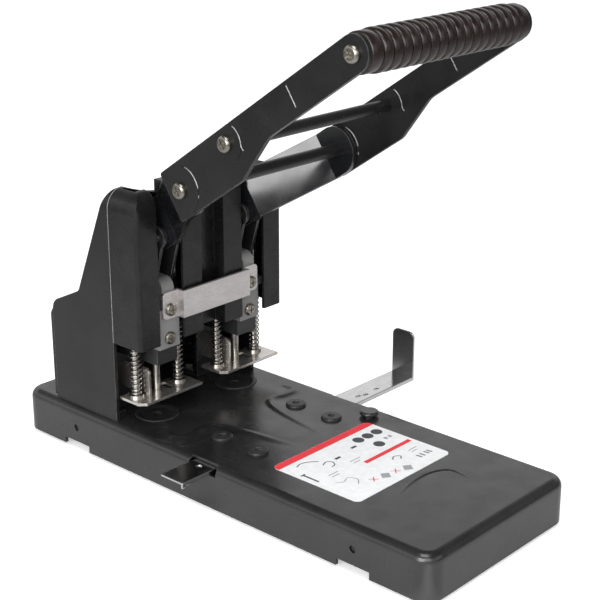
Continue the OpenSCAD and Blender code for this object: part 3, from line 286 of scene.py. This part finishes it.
link_black = paint("link_black", (0.009, 0.009, 0.0095), (0.42, 0.42, 0.42), 0.28, 0.02, 0.35, 0.5)
foot_rubber = moulded("foot_rubber", (0.014, 0.014, 0.014), 0.7, 1300, 0.25)
grip_rubber = moulded("grip_rubber", (0.0105, 0.0052, 0.0038), 0.24, 1500, 0.05, 0.2, 0.55)
button_plastic = moulded("button_plastic", (0.016, 0.016, 0.016), 0.2, 1700, 0.03, 0.3, 0.7)
bright_steel = brushed("bright_steel", (0.62, 0.6, 0.57), (0.42, 0.4, 0.37), 0.22)
plate_nickel = brushed("plate_nickel", (0.76, 0.72, 0.68), (0.6, 0.565, 0.53), 0.2, edge=0.4, metal=0.9)
strap_steel = brushed("strap_steel", (0.68, 0.65, 0.645), (0.58, 0.555, 0.55), 0.3, edge=0.5, metal=0.85)
zinc = brushed("zinc", (0.74, 0.735, 0.74), (0.66, 0.655, 0.66), 0.18, edge=0.9)
screw_nickel = brushed("screw_nickel", (0.4, 0.375, 0.33), (0.25, 0.235, 0.205), 0.26, (1, 1, 1))
clip_steel = brushed("clip_steel", (0.24, 0.24, 0.24), (0.14, 0.14, 0.14), 0.38)
label_film = printed("label_film", (0.88, 0.89, 0.9), 0.6)
red_ink = printed("red_ink", (0.82, 0.055, 0.07))
grey_ink = printed("grey_ink", (0.09, 0.09, 0.1))
pale_ink = printed("pale_ink", (0.36, 0.37, 0.38))
# Bright steel for the arm beads: its brightness is a painted highlight along the arms' pressed lines.
bead_highlight_steel = brushed("bead_highlight_steel", (0.5, 0.49, 0.47), (0.36, 0.35, 0.34), 0.4, (1, 1, 1))

finishes = {
    "body_paint": body_paint, "cover_plastic": cover_plastic, "tray_paint": tray_paint,
    "foot_rubber": foot_rubber, "black_steel": black_steel, "arm_paint": arm_paint,
    "grip_rubber": grip_rubber, "frame_steel": frame_steel, "head_grey": head_grey,
    "bright_steel": bright_steel, "strap_steel": strap_steel, "zinc": zinc,
    "screw_nickel": screw_nickel, "clip_steel": clip_steel, "button_plastic": button_plastic,
    "label_film": label_film,
}
own_finish = {
    "casing_shell": casing_paint, "rear_cover": casing_paint,
    "lever_left": lever_paint, "lever_right": lever_paint,
    "stripper_left": plate_nickel, "stripper_right": plate_nickel,
    "frame_left": link_black, "frame_right": link_black,
    "links_left": link_black, "links_right": link_black,
}
for part in frame["record"]["subparts"]:
    mesh = frame["nodes"][part["node"]].data
    mesh.materials.clear()
    mesh.materials.append(own_finish.get(part["node"], finishes[part["material_slot"]]))


# Pieces made for the scene

def piece(name, shape, finish, body, smooth=40):
    """Turns a bmesh in millimetres into a piece that rides on a body."""
    bmesh.ops.remove_doubles(shape, verts=shape.verts, dist=0.0005)
    bmesh.ops.recalc_face_normals(shape, faces=shape.faces)
    bmesh.ops.scale(shape, vec=(MM, MM, MM), verts=shape.verts)
    mesh = bpy.data.meshes.new(name)
    shape.to_mesh(mesh)
    shape.free()
    mesh.materials.append(finish)
    mesh.shade_smooth()
    mesh.set_sharp_from_angle(angle=math.radians(smooth))
    obj = bpy.data.objects.new(name, mesh)
    scene.collection.objects.link(obj)
    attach(obj, body)
    return obj


def rim_edges(verts):
    return list({edge for vert in verts for edge in vert.link_edges})


def spun(shape, edges, centre, axis, angle, steps, rise=(0, 0, 0)):
    """Spins edges about an axis and gives back the edges at the far end."""
    done = bmesh.ops.spin(shape, geom=edges, cent=centre, axis=axis, dvec=rise, angle=angle, steps=steps)
    return [g for g in done["geom_last"] if isinstance(g, bmesh.types.BMEdge)]


# Springs

WIRE_SIDES = 10
WIRE_STEPS = 22


def wound_wire(shape, place, radius, wire, z0, z1, turns):
    """Adds one compression spring: a wire ring spun up a helix, with a closed turn at each end."""
    ring = bmesh.ops.create_circle(shape, segments=WIRE_SIDES, radius=wire)["verts"]
    start = Matrix.Translation((place[0] + radius, place[1], z0 + wire))
    bmesh.ops.transform(shape, matrix=start @ Matrix.Rotation(math.pi / 2, 4, "X"), verts=ring)
    edges = first = rim_edges(ring)
    closed_rise = 2 * wire * 1.02
    open_turns = turns - 2
    open_rise = (z1 - z0 - 2 * wire - 2 * closed_rise) / open_turns
    for count, rise in ((1, closed_rise), (open_turns, open_rise), (1, closed_rise)):
        edges = spun(shape, edges, (place[0], place[1], 0), (0, 0, 1), 2 * math.pi * count,
                     WIRE_STEPS * count, (0, 0, rise / WIRE_STEPS))
    for end in (first, edges):
        bmesh.ops.contextual_create(shape, geom=end)


def column_springs(side):
    shape = bmesh.new()
    x = -PUNCH_X if side == "left" else PUNCH_X
    for rod in ROD_SIDES:
        wound_wire(shape, (x + rod, ROD_Y), SPRING_R, SPRING_WIRE_R, SPRING_FOOT, SPRING_TOP, SPRING_TURNS)
    obj = piece(f"wound_springs_{side}", shape, bright_steel, f"stripper_{side}")
    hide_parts(f"springs_{side}")
    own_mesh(obj)


def spring_under_button():
    shape = bmesh.new()
    wound_wire(shape, BUTTON, BUTTON_SPRING_R, BUTTON_WIRE_R, TRAY_FLOOR, BUTTON_SPRING_TOP,
               BUTTON_SPRING_TURNS)
    button_spring = piece("wound_button_spring", shape, bright_steel, "base")
    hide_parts("lock_spring")
    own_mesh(button_spring)


for side in ("left", "right"):
    column_springs(side)
spring_under_button()


# Grip: one profile of crowned ribs, spun round the handle's end rod

# Steps across one rib, as (along the grip from the rib's left, radius)
RIB = ((0.6, 11.2), (0.75, 11.6), (1.0, 12.05), (1.4, 12.45), (1.9, 12.72), (2.6, 12.9), (4.1, 13.0),
       (5.6, 12.95), (6.4, 12.85), (7.0, 12.62), (7.35, 12.25), (7.55, 11.7), (7.65, 11.2))


def rib_outline():
    """Points (along the grip, radius) from one end of the rubber to the other."""
    start = -RIBS * RIB_PITCH / 2
    end_ring = [(-GRIP_HALF, 5.2), (-GRIP_HALF, 11.4), (-GRIP_HALF + 0.3, 11.85), (-GRIP_HALF + 0.9, 12.1),
                (start - 1.5, 12.15), (start - 0.9, 11.95), (start - 0.5, 11.4)]
    ribs = [(start + rib * RIB_PITCH + u, r) for rib in range(RIBS) for u, r in RIB]
    return end_ring + ribs + [(-x, r) for x, r in reversed(end_ring)]


def ribbed_grip():
    shape = bmesh.new()
    outline = [shape.verts.new((x, GRIP_Y, GRIP_Z + r)) for x, r in rib_outline()]
    edges = [shape.edges.new(pair) for pair in zip(outline, outline[1:])]
    bmesh.ops.spin(shape, geom=outline + edges, cent=(0, GRIP_Y, GRIP_Z), axis=(1, 0, 0),
                   angle=2 * math.pi, steps=56, use_merge=True)
    obj = piece("ribbed_grip", shape, grip_rubber, "handle", 50)
    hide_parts("grip")


ribbed_grip()


# Beads on the left faces of both arms: the pressed lines, in a bright steel that paints the highlights they
# catch

def arm_bow(shape, face, joint, radius, start, end, hook=0):
    """A thin round bead bent about a rod's screw; a hook turns its lower end back."""
    centre = Vector((face, -joint[0], joint[1]))
    ring = bmesh.ops.create_circle(shape, segments=8, radius=BEAD_R)["verts"]
    bmesh.ops.translate(shape, verts=ring, vec=centre + Vector((0, -radius, 0)))
    turn = Matrix.Rotation(math.radians(start), 3, "X")
    bmesh.ops.rotate(shape, verts=ring, cent=centre, matrix=turn)
    first = rim_edges(ring)
    last = spun(shape, first, centre, (1, 0, 0), math.radians(end - start), 18)
    if hook:
        outward = Vector((0, -radius - HOOK_R, 0))
        outward.rotate(Matrix.Rotation(math.radians(end), 3, "X"))
        last = spun(shape, last, centre + outward, (1, 0, 0), math.radians(-hook), 8)
    for rim in (first, last):
        bmesh.ops.contextual_create(shape, geom=rim)


def cross_bead(shape, face):
    """A thin straight bead across the narrow stretch of an arm."""
    bead = bmesh.ops.create_cone(shape, cap_ends=True, segments=8, radius1=BEAD_R, radius2=BEAD_R,
                                 depth=CROSS_BEAD_L)["verts"]
    bmesh.ops.translate(shape, verts=bead, vec=(face, -CROSS_BEAD[0], CROSS_BEAD[1]))


def arm_beads():
    shape = bmesh.new()
    for face in ARM_FACES:
        arm_bow(shape, face, LOWER_JOINT, LOWER_BOW_R, -40, 19)
        arm_bow(shape, face, LOWER_JOINT, LOWER_BOW_R, 34, 40)
        arm_bow(shape, face, UPPER_JOINT, UPPER_BOW_R, -30, 26, 50)
        cross_bead(shape, face)
    bmesh.ops.transform(shape, matrix=HANDLE, verts=shape.verts)
    # The beads' bright steel paints the highlights along the pressed lines.
    piece("arm_beads", shape, bead_highlight_steel, "handle", 60)


arm_beads()


# Relief on the base's top: two curved ridges that fade out towards the label, and a low bow in front

RIDGE = ((58.3, 52.5), (59.8, 44.5), (55.5, 36.9), (46, 36.5), (38.5, 38.5), (31.5, 36.9), (26, 31),
         (21.2, 17.5), (18, 1.5), (15.5, -13.5), (12.5, -30.5))
FRONT_BOW = ((-23, -127.5), (-11, -123.5), (2, -121.5), (12, -121.5), (20, -123.5), (26, -127),
             (29, -132.5), (28.2, -140.5), (27, -147.5))
RIDGE_H = 1.1
BOW_H = 0.6
SKIN_SINK = 0.06
SKIN_T = 0.3
SKIN_START = 0.02


def smooth_path(points, cuts=8):
    """A soft curve through the points."""
    pts = [Vector(p) for p in points]
    path = []
    for i in range(len(pts) - 1):
        before, after = pts[max(i - 1, 0)], pts[min(i + 2, len(pts) - 1)]
        a, b = pts[i], pts[i + 1]
        for k in range(cuts):
            t = k / cuts
            path.append(0.5 * (2 * a + (b - before) * t + (2 * before - 5 * a + 4 * b - after) * t * t
                               + (3 * a - before - 3 * b + after) * t ** 3))
    return path + [pts[-1]]


def nearest(path, spot):
    """(distance, share of the way along, side) of a spot beside a path."""
    best = (1e9, 0, 1)
    for i in range(len(path) - 1):
        a, step = path[i], path[i + 1] - path[i]
        t = min(max((spot - a).dot(step) / step.length_squared, 0), 1)
        off = spot - a - step * t
        if off.length < best[0]:
            best = (off.length, (i + t) / (len(path) - 1), 1 if step.cross(off) > 0 else -1)
    return best


def hump(gap, width):
    return math.exp(-(gap / width) ** 2)


ridge_path = smooth_path(RIDGE)
bow_path = smooth_path(FRONT_BOW)


def ridge_height(x, y):
    """Height of the ridges, which fall off more gently on their outer side."""
    gap, along, side = nearest(ridge_path, Vector((abs(x), y)))
    fade = min(1, along / 0.12) * min(1, max(0, (1 - along) / 0.35))
    if side > 0:
        return RIDGE_H * fade * (0.25 * hump(gap, 9) + 0.75 * hump(gap, 3.4))
    return RIDGE_H * fade * hump(gap, 2.6)


def bow_height(x, y):
    gap, along, _ = nearest(bow_path, Vector((x, y)))
    fade = min(1, along / 0.25) * min(1, (1 - along) / 0.35)
    return BOW_H * fade * hump(gap, 1.3)


def pressed(name, low, high, cells, height):
    """A thin skin on the base's top that rises by height(x, y) and is left out where it is flat."""
    shape = bmesh.new()
    bmesh.ops.create_grid(shape, x_segments=cells[0], y_segments=cells[1], size=0.5)
    centre = ((low[0] + high[0]) / 2, (low[1] + high[1]) / 2)
    bmesh.ops.scale(shape, vec=(high[0] - low[0], high[1] - low[1], 1), verts=shape.verts)
    bmesh.ops.translate(shape, vec=(*centre, BASE_TOP - SKIN_SINK), verts=shape.verts)
    flat = []
    for vert in shape.verts:
        rise = height(vert.co.x, vert.co.y)
        vert.co.z += rise
        if rise < SKIN_START:
            flat.append(vert)
    bmesh.ops.delete(shape, geom=flat, context="VERTS")
    bmesh.ops.solidify(shape, geom=shape.faces[:], thickness=SKIN_T)
    piece(name, shape, body_paint, "base", 60)


pressed("base_ridges", (-68, -34.5), (68, 61.5), (190, 134), ridge_height)
pressed("base_bow", (-28, -150.5), (34, -117.5), (90, 50), bow_height)


# Print on the label: stripes, dots and plain marks

INK_LIFT = 0.03
INK_T = 0.04


def mark(shape, outline):
    """One flat patch of ink on the label."""
    corners = [shape.verts.new((x, y + LABEL_SHIFT, LABEL_TOP + INK_LIFT)) for x, y in outline]
    shape.faces.new(corners)


def bar(shape, start, end, width):
    """One straight stripe of ink."""
    a, b = Vector(start), Vector(end)
    side = (b - a).orthogonal().normalized() * width / 2
    mark(shape, [a - side, b - side, b + side, a + side])


def dot(shape, place, radius):
    ring = bmesh.ops.create_circle(shape, cap_ends=True, segments=28, radius=radius)["verts"]
    bmesh.ops.translate(shape, vec=(place[0], place[1] + LABEL_SHIFT, LABEL_TOP + INK_LIFT), verts=ring)


def bent_line(shape, points, width):
    path = smooth_path(points, 5)
    for a, b in zip(path, path[1:]):
        bar(shape, a, b + (b - a) * 0.12, width)


def red_print(shape):
    mark(shape, [(-49, -43), (49, -43), (49, -39.6), (47.6, -37.5), (45, -36.6), (-45, -36.6),
                 (-47.6, -37.5), (-49, -39.6)])
    bar(shape, (-2, -78.2), (46.2, -78.2), 3.6)
    for x, y in ((-17, -98), (2, -101)):
        bar(shape, (x - 2.4, y - 2.4), (x + 2.4, y + 2.4), 0.7)
        bar(shape, (x - 2.4, y + 2.4), (x + 2.4, y - 2.4), 0.7)


def grey_print(shape):
    for place in ((22, -52), (31.5, -52.4), (41, -52.6), (27, -66.5)):
        dot(shape, place, 4.2)
    bar(shape, (-44, -60), (-44, -74), 1.6)
    bar(shape, (-46, -60), (-42, -60), 1.2)
    bent_line(shape, [(-38, -49), (-33, -47.5), (-27, -49.5), (-22, -54)], 0.9)
    bent_line(shape, [(-24, -60), (-19, -58), (-16, -61), (-18, -65), (-22, -66)], 0.8)
    for x, y in ((-9, -60), (11, -57)):
        bar(shape, (x - 2.6, y), (x + 2.6, y), 2.2)
    for x in (30, 33.5, 38, 41):
        bar(shape, (x, -96.5), (x + 0.6, -101), 1.3)
    bent_line(shape, [(14, -89), (18, -86.5), (22, -89), (19, -92)], 0.8)


def pale_print(shape):
    for x, y in ((-12, -101), (7, -104.5)):
        mark(shape, [(x, y), (x + 5, y - 3.4), (x + 9, y + 1.6), (x + 4, y + 5)])
    rules = ((-33, -73, 9), (-33, -76, 7), (-8, -70, 10), (-8, -73, 7), (32, -88, 9), (32, -91, 6))
    for x, y, length in rules:
        bar(shape, (x, y), (x + length, y), 0.8)
    bent_line(shape, [(-38, -83), (-33, -86), (-27, -84), (-24, -90), (-29, -95)], 0.7)
    for x in (36, 40.5):
        bar(shape, (x, -64), (x + 2.6, -64), 3.2)


for name, draw, ink in (("print_red", red_print, red_ink), ("print_grey", grey_print, grey_ink),
                        ("print_pale", pale_print, pale_ink)):
    ink_shape = bmesh.new()
    draw(ink_shape)
    bmesh.ops.solidify(ink_shape, geom=ink_shape.faces[:], thickness=INK_T)
    piece(name, ink_shape, ink, "base")


# Studio, in metres: pale floor, white surroundings and four soft boxes

FLOOR_R = 9.0
FLOOR_COLOUR = (0.93, 0.93, 0.93)
FLOOR_GLOW = 0.45
STREAK_PLACE = (-0.103, -0.222, 0)
STREAK_SIZE = (0.08, 0.02, 1)
STREAK_TURN_DEG = 48
AMBIENT = 0.64
CENTRE = (0, 0, 0.12)


def floor_paper():
    """Pale paper, plain to the camera; in reflections dimmer with distance, but for one bright streak."""
    f = Finish("floor_paper")
    f.set(Roughness=0.9, Specular_IOR_Level=0.0, Emission_Color=(1, 1, 1, 1))
    spot = f.coords.outputs["Object"]
    rays = f.nodes.new("ShaderNodeLightPath").outputs
    seen = f.math("MAXIMUM", rays["Is Camera Ray"], rays["Is Glossy Ray"])
    seen = f.math("MAXIMUM", seen, rays["Is Transmission Ray"])

    far = f.between(f.vector_math("LENGTH", spot), 0.46, 0.82, 0.25, 1.3)
    from_side = f.math("SUBTRACT", f.math("ABSOLUTE", f.place("X")), BASE_HALF_W * MM)
    from_end = f.math("SUBTRACT", f.math("ABSOLUTE", f.place("Y")), BASE_HALF_L * MM)
    near = f.between(f.math("MAXIMUM", from_side, from_end), 0.3, 0.47, 0.0, 0.06)

    streak = f.nodes.new("ShaderNodeMapping")
    streak.vector_type = "TEXTURE"
    streak.inputs["Location"].default_value = STREAK_PLACE
    streak.inputs["Rotation"].default_value = (0, 0, math.radians(STREAK_TURN_DEG))
    streak.inputs["Scale"].default_value = STREAK_SIZE
    f.links.new(spot, streak.inputs["Vector"])
    off_streak = f.between(f.vector_math("LENGTH", streak.outputs["Vector"]), 0.0, 1.0, 0.3, 1.2)

    dimmed = f.math("MULTIPLY", f.math("MAXIMUM", far, near), rays["Is Glossy Ray"])
    kept = f.math("SUBTRACT", 1.0, f.math("MULTIPLY", dimmed, off_streak))
    f.put(f.math("MULTIPLY", f.math("MULTIPLY", seen, FLOOR_GLOW), kept), "Emission Strength")
    f.put(f.mix(kept, (0.0, 0.0, 0.0), FLOOR_COLOUR), "Base Color")
    return f.material


def lay_floor():
    shape = bmesh.new()
    bmesh.ops.create_circle(shape, cap_ends=True, segments=96, radius=FLOOR_R)
    mesh = bpy.data.meshes.new("floor")
    shape.to_mesh(mesh)
    shape.free()
    mesh.materials.append(floor_paper())
    floor = bpy.data.objects.new("floor", mesh)
    scene.collection.objects.link(floor)


def light_surroundings():
    """White to the camera; in reflections a bright band, darker overhead and to the front right."""
    scene.world = bpy.data.worlds.new("studio")
    scene.world.use_nodes = True
    sky = Wiring(scene.world.node_tree)
    surround = sky.nodes["Background"]
    surround.inputs["Color"].default_value = (1, 1, 1, 1)
    rays = sky.nodes.new("ShaderNodeLightPath").outputs
    way = sky.split(sky.coords.outputs["Generated"])

    ceiling = sky.between(way["Z"], 1.0, 0.1, 0.4, 0.68, "SMOOTHSTEP")
    low_sky = sky.between(way["Z"], 0.5, 1.0, 0.22, 0.36)
    front_right = sky.between(sky.math("SUBTRACT", way["X"], way["Y"]), 1.0, 0.25, 0.75, 1.2)
    mirrored = rays["Is Glossy Ray"]
    for share in (ceiling, low_sky, front_right):
        mirrored = sky.math("MULTIPLY", mirrored, share)

    plain = sky.math("MAXIMUM", rays["Is Camera Ray"], rays["Is Transmission Ray"])
    shown = sky.math("MAXIMUM", plain, rays["Is Glossy Ray"])
    ambient = sky.math("MULTIPLY", sky.math("SUBTRACT", 1.0, shown), AMBIENT)
    strength = sky.math("ADD", sky.math("ADD", plain, mirrored), ambient)
    sky.links.new(strength, surround.inputs["Strength"])


def turn_towards(obj, way):
    obj.rotation_euler = Vector(way).to_track_quat("-Z", "Y").to_euler()


def soft_box(name, place, aim, size, power):
    lamp = bpy.data.lights.new(name, "AREA")
    lamp.shape = "RECTANGLE"
    lamp.size, lamp.size_y = size
    lamp.energy = power
    obj = bpy.data.objects.new(name, lamp)
    obj.location = place
    turn_towards(obj, Vector(aim) - Vector(place))
    scene.collection.objects.link(obj)


def set_camera():
    lens = bpy.data.cameras.new("camera")
    lens.sensor_width = 36
    lens.lens = 84.68
    camera = bpy.data.objects.new("camera", lens)
    camera.location = (-0.6631, -0.624, 0.4525)
    turn_towards(camera, (0.697, 0.634, -0.334))
    scene.collection.objects.link(camera)
    scene.camera = camera


lay_floor()
light_surroundings()
soft_box("key_box", (-1.15, -1.2, 0.95), CENTRE, (0.9, 0.8), 6.0)
soft_box("left_box", (-1.53, -0.37, 0.66), (0.06, 0.02, 0.2), (1.0, 0.8), 15.0)
soft_box("top_box", (-0.5, -0.25, 1.45), CENTRE, (0.8, 0.7), 7.0)
soft_box("front_box", (0.5, -1.5, 0.8), CENTRE, (1.0, 0.9), 1.5)
set_camera()
scene.view_settings.view_transform = "Standard"
